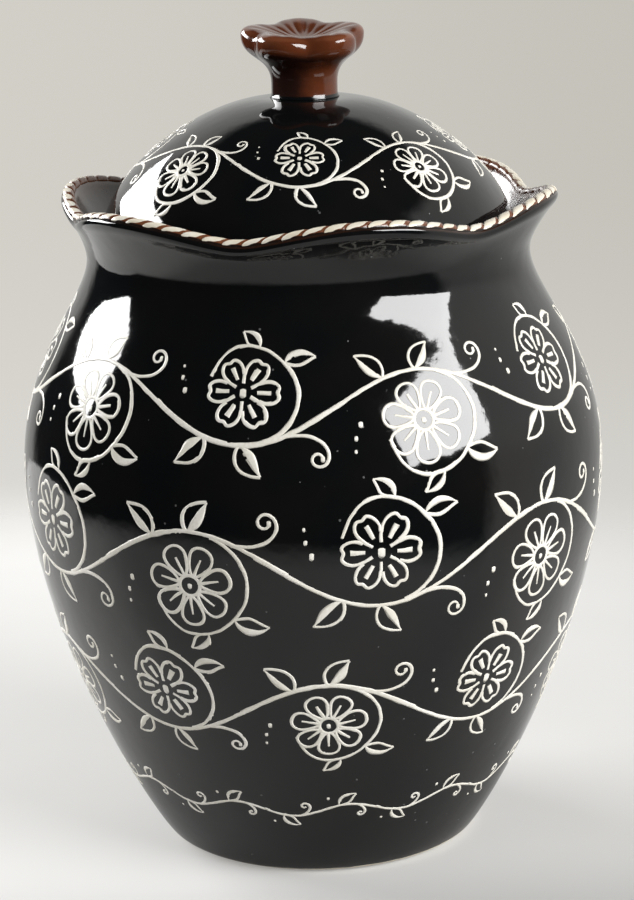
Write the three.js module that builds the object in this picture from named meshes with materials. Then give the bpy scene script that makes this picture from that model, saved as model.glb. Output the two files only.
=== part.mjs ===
// A glazed kitchen canister: a round-bellied jar with a ruffled lip, a notched rope of clay along the
// lip, and a domed lid with a five-petalled flower knob that drops onto a ledge inside the neck.
// Millimetres, +Z up. The foot stands on z = 0, the axis of the jar is the Z axis and -Y is the front.
import * as THREE from 'three';

// Foot: the flat ring that the jar stands on, with a shallow recess inside it.
const FOOT_RADIUS = 52.2;
const FOOT_RING_WIDTH = 8;
const FOOT_RECESS = 2.5;
const FOOT_EDGE_HEIGHT = 2.2;
const FOOT_EDGE_RUN = 3.8;

// Wall: it leaves the foot outwards, swells to the belly and draws in to the neck.
const WALL = 5.5;
const FLOOR_THICKNESS = 6;
const FLOOR_FILLET = 9;
const FOOT_FLARE_RUN = 6;
const FOOT_FLARE_RISE = 6.5;
const BELLY_RADIUS = 101.5;
const BELLY_HEIGHT = 135;
const BELLY_FULLNESS_BELOW = 57;
const BELLY_FULLNESS_ABOVE = 38.5;
const NECK_RADIUS = 76.4;
const NECK_HEIGHT = 208.3;
const NECK_CURVE_BELOW = 15;

// Lip: sizes at the bottom of a ruffle, measured from the neck. A crest stands higher and further out.
const LIP_RISE = 15;
const LIP_FLARE = 4.4;
const LIP_THICKNESS = 4.2;
const LIP_CURVE = 6;
const RUFFLE_COUNT = 6;
const RUFFLE_TURN = 13.6;
const RUFFLE_SOFTNESS = 0.35;
const CREST_RISE = 6;
const CREST_OUT = 5.4;
const RUFFLE_START = 2.5;

// Rope edging: a flattened coil of clay luted along the lip and cut across with notches.
const ROPE_HEIGHT = 2.3;
const ROPE_NOTCHES = 78;
const ROPE_NOTCH_DEPTH = 0.9;

// Ledge inside the neck, which carries the lid.
const NECK_WALL = 4.2;
const NECK_BORE_RISE = 3.5;
const LEDGE_DROP = 2.3;
const LEDGE_WIDTH = 9.4;
const LEDGE_DEPTH = 9;
const LEDGE_SLOPE_DROP = 7;

// Lid: an upright edge, a dome with a flat pad for the knob, and a flange that hangs inside the ledge.
const LID_WALL = 5;
const LID_EDGE_HEIGHT = 7.2;
const LID_EDGE_CHAMFER = 0.8;
const DOME_HEIGHT = 47.5;
const DOME_SHOULDER = 23;
const DOME_CROWN = 22;
const PAD_MARGIN = 1.2;
const FLANGE_WALL = 4.4;
const FLANGE_DEPTH = 12;
const FLANGE_RAMP = 9;

// Seal: a silicone ring in a groove round the flange, with two lips that meet the ledge's bore.
const SEAL_WIDTH = 3.6;
const SEAL_HEIGHT = 6;
const SEAL_GROOVE_DEPTH = 1.6;
const SEAL_DROP = 3;
const SEAL_LIP_HEIGHT = 1.6;
const SEAL_WAIST = 1.1;

// Knob: a stem that opens into five cupped petals with a dimple in the middle. The flower's face leans
// towards the gap between its two front petals, where its edge is lower by the lean.
const STEM_RADIUS = 11.3;
const STEM_FOOT = 0.6;
const STEM_FOOT_HEIGHT = 1.6;
const STEM_HEIGHT = 6;
const FLOWER_RADIUS = 21.8;
const FLOWER_RISE = 19;
const FLARE_LOW = 9.5;
const FLARE_HIGH = 8.8;
const PETAL_COUNT = 5;
const PETAL_TURN = 41;
const PETAL_SOFTNESS = 0.3;
const PETAL_NOTCH = 4.2;
const PETAL_LIFT = 1.8;
const FLOWER_LEAN = 3;
const PETAL_LIP_DROP = 2.5;
const PETAL_LIP_RUN = 3.4;
const DIMPLE_DEPTH = 4.5;
const DIMPLE_RADIUS = 4;

// Fits: the joint left for slip between luted pieces, the running gap and the lid's play in the neck.
const SLIP_GAP = 0.3;
const RUNNING_GAP = 0.3;
const LID_PLAY = 1;

// Facets round the axis, where the rope's notches and the jar's facets share their seams, and steps
// along each curve of an outline. Outline points closer than the merge distance become one.
const JAR_FACETS = ROPE_NOTCHES;
const LID_FACETS = 60;
const KNOB_FACETS = 50;
const SEAL_FACETS = 48;
const ROPE_STEPS_PER_NOTCH = 3;
const ROPE_ARC_STEPS = 4;
const WALL_STEPS = 7;
const LIP_STEPS = 4;
const FILLET_STEPS = 3;
const DOME_STEPS = 9;
const FLARE_STEPS = 6;
const POINT_SPACING = 1;

// Places that follow from the sizes above.
const footInner = FOOT_RADIUS - FOOT_RING_WIDTH;
const floorTop = FOOT_RECESS + FLOOR_THICKNESS;
const lipRadius = NECK_RADIUS + LIP_FLARE;
const lipHeight = NECK_HEIGHT + LIP_RISE;
const neckBore = NECK_RADIUS - NECK_WALL;
const ledgeHeight = NECK_HEIGHT - LEDGE_DROP;
const ledgeBore = neckBore - LEDGE_WIDTH;
const lidRadius = neckBore - LID_PLAY;
const lidSeat = ledgeHeight + RUNNING_GAP;
const domeBase = lidSeat + LID_EDGE_HEIGHT;
const domeTop = domeBase + DOME_HEIGHT;
const padRadius = STEM_RADIUS + STEM_FOOT + PAD_MARGIN;
const sealOuter = ledgeBore - RUNNING_GAP;
const sealInner = sealOuter - SEAL_WIDTH;
const grooveRadius = sealInner - RUNNING_GAP;
const flangeOuter = grooveRadius + SEAL_GROOVE_DEPTH;
const flangeInner = flangeOuter - FLANGE_WALL;
const flangeBottom = lidSeat - FLANGE_DEPTH;
const sealTop = lidSeat - SEAL_DROP;
const sealBottom = sealTop - SEAL_HEIGHT;

const at = (radius, height) => new THREE.Vector2(radius, height);

const bezier = (a, b, c, d, steps) => new THREE.CubicBezierCurve(a, b, c, d).getPoints(steps);

// The same outline moved to its left by a distance: inwards, for a wall drawn from the bottom up.
function offsetLeft(points, distance) {
  return points.map((point, i) => {
    const before = points[Math.max(i - 1, 0)];
    const after = points[Math.min(i + 1, points.length - 1)];
    const run = after.clone().sub(before).normalize();
    return at(point.x - run.y * distance, point.y + run.x * distance);
  });
}

function radiusAtHeight(points, height) {
  const i = points.findIndex((point) => point.y >= height);
  const low = points[i - 1];
  const high = points[i];
  return THREE.MathUtils.mapLinear(height, low.y, high.y, low.x, high.x);
}

// A row of scallops round the axis: 1 in the middle of each, and 0 in the notches between them.
function scallop(turn, count, firstDegrees, softness) {
  const swing = Math.cos((count / 2) * (turn - THREE.MathUtils.degToRad(firstDegrees)));
  return (Math.hypot(swing, softness) - softness) / (Math.hypot(1, softness) - softness);
}

// A turned solid about Z. Its points run from the axis or from below, outwards and then up.
function turned(points, facets) {
  return new THREE.LatheGeometry(points, facets).rotateX(Math.PI / 2);
}

// Moves each corner of a turned solid by a function of its turn from the front, radius and height.
function reshape(geometry, moved) {
  const corners = geometry.getAttribute('position');
  const corner = new THREE.Vector3();
  for (let i = 0; i < corners.count; i++) {
    corner.fromBufferAttribute(corners, i);
    const turn = Math.atan2(corner.x, -corner.y);
    const { radius, height } = moved(turn, Math.hypot(corner.x, corner.y), corner.z);
    corners.setXYZ(i, radius * Math.sin(turn), -radius * Math.cos(turn), height);
  }
  return geometry;
}

const ruffle = (turn) => scallop(turn, RUFFLE_COUNT, RUFFLE_TURN, RUFFLE_SOFTNESS);

// The outside of the wall, from the top of the foot's rounded edge to the neck.
function wallOutline() {
  const spring = at(FOOT_RADIUS + FOOT_EDGE_RUN, FOOT_EDGE_HEIGHT);
  const belly = at(BELLY_RADIUS, BELLY_HEIGHT);
  const lower = bezier(
    spring,
    at(spring.x + FOOT_FLARE_RUN, spring.y + FOOT_FLARE_RISE),
    at(BELLY_RADIUS, BELLY_HEIGHT - BELLY_FULLNESS_BELOW),
    belly,
    WALL_STEPS,
  );
  const upper = bezier(
    belly,
    at(BELLY_RADIUS, BELLY_HEIGHT + BELLY_FULLNESS_ABOVE),
    at(NECK_RADIUS, NECK_HEIGHT - NECK_CURVE_BELOW),
    at(NECK_RADIUS, NECK_HEIGHT),
    WALL_STEPS,
  );
  return [...lower, ...upper.slice(1)];
}

// The flared lip: up its outside, across its flat top and down the throat to the neck's bore.
function lipOutline() {
  const lean = LIP_FLARE / 2;
  const top = at(lipRadius, lipHeight);
  const innerTop = at(lipRadius - LIP_THICKNESS, lipHeight);
  const throatFoot = at(neckBore, ledgeHeight + NECK_BORE_RISE);
  const outside = bezier(
    at(NECK_RADIUS, NECK_HEIGHT),
    at(NECK_RADIUS, NECK_HEIGHT + LIP_CURVE),
    at(top.x - lean, top.y - LIP_CURVE),
    top,
    LIP_STEPS,
  );
  const throat = bezier(
    innerTop,
    at(innerTop.x - lean, innerTop.y - LIP_CURVE),
    at(throatFoot.x, throatFoot.y + LIP_CURVE),
    throatFoot,
    LIP_STEPS,
  );
  return [...outside.slice(1), ...throat];
}

// The ledge for the lid, its sloping underside, the lining of the wall and the floor, down to the axis.
function insideOutline(wall) {
  const lining = offsetLeft(wall, WALL);
  const slopeFoot = ledgeHeight - LEDGE_DEPTH - LEDGE_SLOPE_DROP;
  const filletTop = floorTop + FLOOR_FILLET;
  const filletStart = at(radiusAtHeight(lining, filletTop), filletTop);
  const straight = lining.filter(
    (point) => point.y > filletTop + POINT_SPACING && point.y < slopeFoot - POINT_SPACING,
  );
  const fillet = new THREE.QuadraticBezierCurve(
    filletStart,
    at(filletStart.x - FLOOR_FILLET / 2, floorTop),
    at(filletStart.x - 2 * FLOOR_FILLET, floorTop),
  );
  return [
    at(neckBore, ledgeHeight),
    at(ledgeBore, ledgeHeight),
    at(ledgeBore, ledgeHeight - LEDGE_DEPTH),
    at(radiusAtHeight(lining, slopeFoot), slopeFoot),
    ...straight.reverse(),
    ...fillet.getPoints(FILLET_STEPS),
    at(0, floorTop),
  ];
}

function jarBody() {
  const wall = wallOutline();
  const profile = [
    at(0, FOOT_RECESS),
    at(footInner - FOOT_RECESS, FOOT_RECESS),
    at(footInner, 0),
    at(FOOT_RADIUS, 0),
    ...wall,
    ...lipOutline(),
    ...insideOutline(wall),
  ];
  const ruffleFoot = NECK_HEIGHT + RUFFLE_START;
  return reshape(turned(profile, JAR_FACETS), (turn, radius, height) => {
    const sway = ruffle(turn) * THREE.MathUtils.smoothstep(height, ruffleFoot, lipHeight);
    return { radius: radius + CREST_OUT * sway, height: height + CREST_RISE * sway };
  });
}

// The rope is a half-round coil on the lip's flat top. One section in each group is cut down as a notch.
function rimRope() {
  const steps = ROPE_NOTCHES * ROPE_STEPS_PER_NOTCH;
  const pointsPerStep = ROPE_ARC_STEPS + 1;
  const lipMiddle = lipRadius - LIP_THICKNESS / 2;
  const positions = [];
  for (let step = 0; step < steps; step++) {
    const cut = step % ROPE_STEPS_PER_NOTCH === 0 ? ROPE_NOTCH_DEPTH : 0;
    const turn = (step / steps) * 2 * Math.PI;
    const ropeBase = lipHeight + SLIP_GAP + CREST_RISE * ruffle(turn);
    for (let k = 0; k < pointsPerStep; k++) {
      const arc = (k / ROPE_ARC_STEPS) * Math.PI;
      const across = Math.cos(arc) * (LIP_THICKNESS / 2 - cut * Math.sin(arc));
      const radius = lipMiddle + CREST_OUT * ruffle(turn) + across;
      const height = ropeBase + Math.sin(arc) * (ROPE_HEIGHT - cut);
      positions.push(radius * Math.sin(turn), -radius * Math.cos(turn), height);
    }
  }
  const triangles = [];
  for (let step = 0; step < steps; step++) {
    const here = step * pointsPerStep;
    const next = ((step + 1) % steps) * pointsPerStep;
    for (let k = 0; k < pointsPerStep; k++) {
      const k2 = (k + 1) % pointsPerStep;
      triangles.push(here + k, next + k, next + k2, here + k, next + k2, here + k2);
    }
  }
  const geometry = new THREE.BufferGeometry();
  geometry.setAttribute('position', new THREE.Float32BufferAttribute(positions, 3));
  geometry.setIndex(triangles);
  geometry.computeVertexNormals();
  return geometry;
}

function lidDome() {
  const dome = bezier(
    at(lidRadius, domeBase),
    at(lidRadius, domeBase + DOME_SHOULDER),
    at(padRadius + DOME_CROWN, domeTop),
    at(padRadius, domeTop),
    DOME_STEPS,
  );
  const rampTop = lidSeat + FLANGE_RAMP;
  const vault = offsetLeft(dome, LID_WALL)
    .filter((point) => point.y > rampTop + POINT_SPACING)
    .reverse();
  const profile = [
    at(0, domeTop - LID_WALL),
    ...vault,
    at(lidRadius - LID_WALL, rampTop),
    at(flangeInner, lidSeat),
    at(flangeInner, flangeBottom),
    at(flangeOuter, flangeBottom),
    at(flangeOuter, sealBottom - RUNNING_GAP),
    at(grooveRadius, sealBottom - RUNNING_GAP),
    at(grooveRadius, sealTop + RUNNING_GAP),
    at(flangeOuter, sealTop + RUNNING_GAP),
    at(flangeOuter, lidSeat),
    at(lidRadius - LID_EDGE_CHAMFER, lidSeat),
    at(lidRadius, lidSeat + LID_EDGE_CHAMFER),
    ...dome,
    at(0, domeTop),
  ];
  return turned(profile, LID_FACETS);
}

function lidSeal() {
  const waist = sealOuter - SEAL_WAIST;
  const profile = [
    at(sealInner, sealBottom),
    at(waist, sealBottom),
    at(sealOuter, sealBottom + SEAL_LIP_HEIGHT / 2),
    at(waist, sealBottom + SEAL_LIP_HEIGHT),
    at(waist, sealTop - SEAL_LIP_HEIGHT),
    at(sealOuter, sealTop - SEAL_LIP_HEIGHT / 2),
    at(waist, sealTop),
    at(sealInner, sealTop),
    at(sealInner, sealBottom),
  ];
  return turned(profile, SEAL_FACETS);
}

function lidKnob() {
  const stemTop = domeTop + STEM_HEIGHT;
  const petalTop = stemTop + FLOWER_RISE;
  const petalSide = petalTop - PETAL_LIP_DROP;
  const dimpleFloor = petalTop - DIMPLE_DEPTH;
  const frontGap = THREE.MathUtils.degToRad(PETAL_TURN - 180 / PETAL_COUNT);
  const flare = bezier(
    at(STEM_RADIUS, stemTop),
    at(STEM_RADIUS, stemTop + FLARE_LOW),
    at(FLOWER_RADIUS, petalSide - FLARE_HIGH),
    at(FLOWER_RADIUS, petalSide),
    FLARE_STEPS,
  );
  const profile = [
    at(0, domeTop),
    at(STEM_RADIUS + STEM_FOOT, domeTop),
    at(STEM_RADIUS, domeTop + STEM_FOOT_HEIGHT),
    ...flare,
    at(FLOWER_RADIUS - PETAL_LIP_RUN / 3, petalTop - PETAL_LIP_DROP / 4),
    at(FLOWER_RADIUS - PETAL_LIP_RUN, petalTop),
    at((FLOWER_RADIUS + DIMPLE_RADIUS) / 2, petalTop - DIMPLE_DEPTH / 2),
    at(DIMPLE_RADIUS, dimpleFloor),
    at(0, dimpleFloor),
  ];
  return reshape(turned(profile, KNOB_FACETS), (turn, radius, height) => {
    const gap = 1 - scallop(turn, PETAL_COUNT, PETAL_TURN, PETAL_SOFTNESS);
    const reach = THREE.MathUtils.smoothstep(radius, DIMPLE_RADIUS, FLOWER_RADIUS);
    const above = THREE.MathUtils.smoothstep(height, stemTop, petalTop);
    const sway = gap * reach * above;
    const towardFront = (1 + Math.cos(turn - frontGap)) / 2;
    const lean = towardFront * above * (radius / FLOWER_RADIUS);
    return {
      radius: radius - PETAL_NOTCH * sway,
      height: height - PETAL_LIFT * sway - FLOWER_LEAN * lean,
    };
  });
}

const blackGlaze = new THREE.MeshStandardMaterial({ color: 0x0b0b0d, roughness: 0.08, metalness: 0 });
const lidGlaze = new THREE.MeshStandardMaterial({ color: 0x0b0b0d, roughness: 0.08, metalness: 0 });
const ropeGlaze = new THREE.MeshStandardMaterial({ color: 0xe3dac3, roughness: 0.3, metalness: 0 });
const brownGlaze = new THREE.MeshStandardMaterial({ color: 0x5a2814, roughness: 0.15, metalness: 0 });
const silicone = new THREE.MeshStandardMaterial({ color: 0xd9d9d4, roughness: 0.5, metalness: 0 });

function piece(name, geometry, material) {
  const mesh = new THREE.Mesh(geometry, material);
  mesh.name = name;
  return mesh;
}

const jar = new THREE.Group();
jar.add(piece('jar_body', jarBody(), blackGlaze));
jar.add(piece('rim_rope', rimRope(), ropeGlaze));

const lid = new THREE.Group();
lid.add(piece('lid_dome', lidDome(), lidGlaze));
lid.add(piece('lid_knob', lidKnob(), brownGlaze));
lid.add(piece('lid_seal', lidSeal(), silicone));

const canister = new THREE.Group();
canister.add(jar, lid);

export default canister;
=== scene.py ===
# %% [markdown]
# A black-glazed canister with a slip-trailed vine.
# The canister is fired clay: a round-bellied jar, a rope of clay along its ruffled lip, and a domed lid
# with a flower knob. Its sizes and its motion are settled in the CAD model, which is loaded here as a
# fixed frame. What Blender adds is the surface: smooth turned walls, glaze, raised lines and light.

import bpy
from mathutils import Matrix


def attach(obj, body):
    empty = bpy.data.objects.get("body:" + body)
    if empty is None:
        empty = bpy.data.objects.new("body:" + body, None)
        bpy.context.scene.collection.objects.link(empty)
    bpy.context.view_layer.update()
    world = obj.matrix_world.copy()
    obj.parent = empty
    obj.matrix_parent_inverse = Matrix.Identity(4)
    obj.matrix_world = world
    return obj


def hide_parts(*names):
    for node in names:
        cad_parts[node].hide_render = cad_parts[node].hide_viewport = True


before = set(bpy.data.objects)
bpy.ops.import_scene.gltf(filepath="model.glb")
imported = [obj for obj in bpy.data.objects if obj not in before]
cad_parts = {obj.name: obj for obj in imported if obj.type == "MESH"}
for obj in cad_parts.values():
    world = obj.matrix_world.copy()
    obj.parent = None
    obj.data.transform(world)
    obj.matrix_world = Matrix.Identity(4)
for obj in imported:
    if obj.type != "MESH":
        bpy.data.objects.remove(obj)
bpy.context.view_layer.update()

# %% [markdown]
# A camera can be aimed with a Track To constraint, but this one has to stand exactly where the
# photographer stood: above the lid, close enough to bend the rim, and tilted a little to one side. A
# move and three turns, applied in order, say that plainly. The lens is for the picture's height.

# %% Camera
import math

import bpy
import numpy as np
from mathutils import Matrix, Quaternion, Vector, noise
from mathutils.geometry import interpolate_bezier

MM = 0.001
CAMERA_PLACE = (0.0, -0.917, 0.372)
CAMERA_LOOKS_DOWN = math.radians(14.40)
CAMERA_TURNED_RIGHT = math.radians(0.087)
CAMERA_TILT = math.radians(1.33)
SENSOR = 36.0
LENS = 107.5

bpy.ops.object.select_all(action="DESELECT")
bpy.ops.object.camera_add()
camera = bpy.context.object
camera.data.sensor_width = SENSOR
camera.data.lens = LENS
camera.matrix_world = (
    Matrix.Translation(CAMERA_PLACE)
    @ Matrix.Rotation(-CAMERA_TURNED_RIGHT, 4, "Z")
    @ Matrix.Rotation(math.pi / 2 - CAMERA_LOOKS_DOWN, 4, "X")
    @ Matrix.Rotation(-CAMERA_TILT, 4, "Z")
)
bpy.context.scene.camera = camera
bpy.context.scene.view_settings.view_transform = "Standard"
print("camera lens", LENS, "mm at", CAMERA_PLACE)

# %% [markdown]
# Every finish below is a small web of shader nodes. Placing nodes one by one makes long, dull code, so
# one class wraps an output socket: sums and products of wires add Math nodes by themselves, and the
# method `node` adds any other kind from its settings and its inputs.

# %% Wires for shader maths


class Wire:
    """One output of a node tree, to be used in maths or led into another node."""

    def __init__(self, tree, socket=None):
        self.tree = tree
        self.socket = socket

    def node(self, kind, settings=None, inputs=None, output=0):
        made = self.tree.nodes.new("ShaderNode" + kind)
        for name, value in (settings or {}).items():
            setattr(made, name, value)
        for name, value in (inputs or {}).items():
            if isinstance(value, Wire):
                self.tree.links.new(value.socket, made.inputs[name])
            else:
                made.inputs[name].default_value = value
        return Wire(self.tree, made.outputs[output] if made.outputs else None)

    def math(self, operation, first, second=0.0):
        return self.node("Math", {"operation": operation}, {0: first, 1: second})

    def __add__(self, other):
        return self.math("ADD", self, other)

    def __sub__(self, other):
        return self.math("SUBTRACT", self, other)

    def __mul__(self, other):
        return self.math("MULTIPLY", self, other)

    def __rsub__(self, other):
        return self.math("SUBTRACT", other, self)

    __radd__ = __add__
    __rmul__ = __mul__

    def step(self, low, high):
        """0 below low, 1 above high, and a smooth rise between them."""
        inputs = {"Value": self, "From Min": low, "From Max": high}
        return self.node("MapRange", {"interpolation_type": "SMOOTHSTEP"}, inputs)

    def blend(self, first, second):
        """The first colour where this wire is 0 and the second where it is 1."""
        return self.node("Mix", {"data_type": "RGBA"}, {0: self, 6: first, 7: second}, 2)

    def noise(self, size, detail=2.0, roughness=0.5):
        """Cloudy noise from 0 to 1 whose blobs are about this size, at the place that this wire gives."""
        inputs = {"Vector": self, "Scale": 1 / size, "Detail": detail, "Roughness": roughness}
        return self.node("TexNoise", None, inputs)

    def output(self, name):
        """Another output of the node that this wire comes from."""
        return Wire(self.tree, self.socket.node.outputs[name])

    def axes(self):
        """The three numbers of a place, each as its own wire."""
        split = self.node("SeparateXYZ", None, {"Vector": self})
        return [split.output(name) for name in "XYZ"]


def rgb(red, green, blue):
    return (red, green, blue, 1.0)


def new_finish(name):
    """An empty material and a wire that gives the place on the piece."""
    finish = bpy.data.materials.new(name)
    finish.use_nodes = True
    finish.node_tree.nodes.clear()
    return finish, Wire(finish.node_tree).node("TexCoord", None, None, "Object")


print("shader wires ready")

# %% [markdown]
# The jar stands on a pale table that is only as big as its reflection in the lower belly shows: past
# about 40 cm the glaze mirrors a dark room. A disc that fades out towards its rim gives that dark band,
# and a background without a horizon. Light Path tells the glaze's mirror rays from the camera's: for
# them alone the table has one more corner, at the back left, and is darkened close to the foot, a painted
# shade. Near the jar the table also glows a little, brighter on the left than on the right: painted light.

# %% Floor
FLOOR_RADIUS = 0.90
FLOOR_MIDDLE = (-0.07, 0.0, 0.0)
FLOOR_SOLID = 0.33
FLOOR_GONE = 0.50
TABLE_CORNER = (-0.45, 0.30, 0.0)
CORNER_SOLID = 0.22
CORNER_GONE = 0.27
FLOOR_COLOUR = rgb(0.39, 0.387, 0.380)
FLOOR_MOTTLE = rgb(0.41, 0.407, 0.400)
MOTTLE_SIZE = 0.08
FLOOR_SHADE = rgb(0.25, 0.248, 0.244)
JAR_FOOT = (0.0, 0.0, 0.0)
SHADE_NEAR = 0.05
SHADE_FAR = 0.16
SHADE_DIMS_GLOW = 0.6
# Painted light on the floor: a glow near the jar, brighter on the left than on the right.
GLOW_LEFT = rgb(0.33, 0.325, 0.315)
GLOW_RIGHT = rgb(0.21, 0.206, 0.198)
NO_GLOW = rgb(0, 0, 0)
GLOW_REACH = 0.16
GLOW_FRONT = -0.14
GLOW_BACK = -0.03


def distance_to(point, place):
    """How far a place on the floor lies from a point of it."""
    return place.node("VectorMath", {"operation": "DISTANCE"}, {0: place, 1: point}, "Value")


bpy.ops.object.select_all(action="DESELECT")
bpy.ops.mesh.primitive_circle_add(vertices=128, radius=FLOOR_RADIUS, fill_type="NGON")
floor = bpy.context.object
floor.name = "floor"
floor_paint, place = new_finish("pale_floor")
across, depth = place.axes()[:2]
rays = place.node("LightPath")
mirrored = rays.output("Is Glossy Ray")
seen = rays.output("Is Camera Ray") + mirrored + rays.output("Is Transmission Ray")
shade = mirrored * (1 - distance_to(JAR_FOOT, place).step(SHADE_NEAR, SHADE_FAR))
# The glow is painted light standing in for the lamps' light on the table, dimmed in the painted shade by the
# foot.
glow = across.step(-GLOW_REACH, GLOW_REACH).blend(GLOW_LEFT, GLOW_RIGHT)
glowing = seen.step(0.0, 1.0) * depth.step(GLOW_FRONT, GLOW_BACK) * (1 - SHADE_DIMS_GLOW * shade)
mottle = place.noise(MOTTLE_SIZE, 3.0).step(0.2, 0.8).blend(FLOOR_COLOUR, FLOOR_MOTTLE)
matt = place.node("BsdfPrincipled", None, {
    "Base Color": shade.blend(mottle, FLOOR_SHADE),
    "Roughness": 0.75,
    "Emission Color": glowing.blend(NO_GLOW, glow),
    "Emission Strength": 1.0,
})
corner = mirrored * (1 - distance_to(TABLE_CORNER, place).step(CORNER_SOLID, CORNER_GONE))
faded = distance_to(FLOOR_MIDDLE, place).step(FLOOR_SOLID, FLOOR_GONE)
gone = place.math("MINIMUM", faded, 1 - corner)
fading = place.node("MixShader", None, {0: gone, 1: matt, 2: place.node("BsdfTransparent")})
place.node("OutputMaterial", None, {"Surface": fading})
floor.data.materials.append(floor_paint)
print("floor radius", FLOOR_RADIUS, "m")

# %% [markdown]
# Black glaze is a mirror, so what stands round the jar matters more than how bright the lamps are. The
# world is pale where the studio's paper hangs, behind and to the right, and nearly dark in front. The
# camera itself sees a plain grey that brightens downwards, which is the paper under the jar.

# %% World
ROOM_DARK = rgb(0.018, 0.020, 0.022)
PAPER = rgb(0.60, 0.595, 0.575)
PAPER_HIGH = rgb(0.80, 0.795, 0.770)
PAPER_MIDDLE = math.radians(144)
PAPER_HALF_WIDTH = math.radians(72)
PAPER_EDGE = math.radians(5)
PAPER_BRIGHTENS = (-0.05, 0.22)
PAPER_TOP = 0.62
PAPER_TOP_FADE = 0.12
BACKGROUND_LEFT = rgb(0.645, 0.625, 0.575)
BACKGROUND_RIGHT = rgb(0.555, 0.540, 0.490)
BACKGROUND_LOW = rgb(0.81, 0.80, 0.78)
BACKGROUND_REACH = 0.14
BACKGROUND_RISES = (-0.42, -0.14)

world = bpy.data.worlds.new("studio")
bpy.context.scene.world = world
world.use_nodes = True
world.node_tree.nodes.clear()
toward = Wire(world.node_tree).node("TexCoord", None, None, "Generated")
side, depth, height = toward.axes()
level = toward.node("CombineXYZ", None, {"X": side, "Y": depth, "Z": 0.0})
level = toward.node("VectorMath", {"operation": "NORMALIZE"}, {0: level})
middle = (math.sin(PAPER_MIDDLE), -math.cos(PAPER_MIDDLE), 0.0)
facing = toward.node("VectorMath", {"operation": "DOT_PRODUCT"}, {0: level, 1: middle}, "Value")
on_paper = facing.step(math.cos(PAPER_HALF_WIDTH + PAPER_EDGE), math.cos(PAPER_HALF_WIDTH - PAPER_EDGE))
on_paper = on_paper * (1 - height.step(PAPER_TOP, PAPER_TOP + PAPER_TOP_FADE))
room = on_paper.blend(ROOM_DARK, height.step(*PAPER_BRIGHTENS).blend(PAPER, PAPER_HIGH))
sideways = side.step(-BACKGROUND_REACH, BACKGROUND_REACH).blend(BACKGROUND_LEFT, BACKGROUND_RIGHT)
paper_seen = height.step(*BACKGROUND_RISES).blend(BACKGROUND_LOW, sideways)
camera_ray = toward.node("LightPath", None, None, "Is Camera Ray")
sky = toward.node("Background", None, {"Color": camera_ray.blend(room, paper_seen), "Strength": 1.0})
toward.node("OutputWorld", None, {"Surface": sky})
print("paper spans", round(math.degrees(2 * PAPER_HALF_WIDTH)), "degrees of the room")

# %% [markdown]
# Two softboxes make the white patches on the glaze. Working back from a patch in the photograph to the
# lamp is a mirror problem: reflect the line of sight in the wall and see where it points. That gives one
# box to the front right and a wide one behind on the left. A third, dim lamp stands for a pale wall low
# on the left. It only fills shadows and mirror rays miss it. Power is brightness times pi times area.

# %% Softboxes
LAMPS_AIM = Vector((0, 0, 0.15))


def softbox(name, turn, rise, far, width, tall, brightness, roll=0.0, mirrored=True):
    """A lamp at a turn to the right of the front and a rise above the horizon, both in degrees."""
    turn = math.radians(turn)
    rise = math.radians(rise)
    flat = math.cos(rise)
    back = Vector((math.sin(turn) * flat, -math.cos(turn) * flat, math.sin(rise)))
    bpy.ops.object.light_add(type="AREA", location=LAMPS_AIM + far * back)
    lamp = bpy.context.object
    lamp.name = name
    lamp.rotation_mode = "QUATERNION"
    lamp.rotation_quaternion = back.to_track_quat("Z", "Y") @ Quaternion((0, 0, 1), math.radians(roll))
    lamp.data.shape = "RECTANGLE"
    lamp.data.size = width
    lamp.data.size_y = tall
    lamp.data.energy = brightness * math.pi * width * tall
    lamp.visible_camera = False
    lamp.visible_glossy = mirrored
    print(name, "gives", round(lamp.data.energy, 1), "watts")


softbox("right_box", turn=54, rise=24, far=2.0, width=1.38, tall=0.90, brightness=17.5, roll=6)
softbox("left_box", turn=-124, rise=21.5, far=2.0, width=1.60, tall=0.68, brightness=19.0)
softbox("wall_bounce", turn=-62, rise=8, far=1.6, width=1.60, tall=0.50, brightness=3.4, mirrored=False)

# %% [markdown]
# Glaze is molten glass that has run a little before it set, so its mirror is never quite flat: broad
# waves a centimetre long and a fine orange peel, all in one bump. A finish also looks up by name what is
# painted on the mesh, because that follows the pot's shape, which a noise can't know.

# %% Helpers for finishes
BROAD_WAVE = 14 * MM
SHORT_WAVE = 5 * MM
ORANGE_PEEL = 2.2 * MM


def glaze_waves(place, broad, short, fine, bead=0.0):
    """A bumped normal for a run glaze, with the depths of its broad, short and fine waves."""
    height = broad * place.noise(BROAD_WAVE, 1.0) + short * place.noise(SHORT_WAVE, 1.0)
    height = height + fine * place.noise(ORANGE_PEEL, 2.0) + bead
    return place.node("Bump", None, {"Strength": 1.0, "Distance": 1.0, "Height": height})


def close_finish(place, **inputs):
    """The shader that ends a finish, with the wires and values that feed it."""
    named = {name.replace("_", " "): value for name, value in inputs.items()}
    shader = place.node("BsdfPrincipled", None, named)
    place.node("OutputMaterial", None, {"Surface": shader})


def painted(place, name):
    """What was painted on the piece under this name."""
    return place.node("Attribute", {"attribute_name": name}, None, "Fac")


print("glaze waves of", round(BROAD_WAVE / MM, 1), "mm, orange peel of", round(ORANGE_PEEL / MM, 1), "mm")

# %% [markdown]
# Jar and lid are nearly black outside, with a few grey pinholes. The black breaks to brown along the
# thin lip, a brown glaze lines the jar and has run in beads from under the rope on one side, and the ring
# that it stands on is bare, up to a line a little askew, as on a pot dipped by hand.

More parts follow.
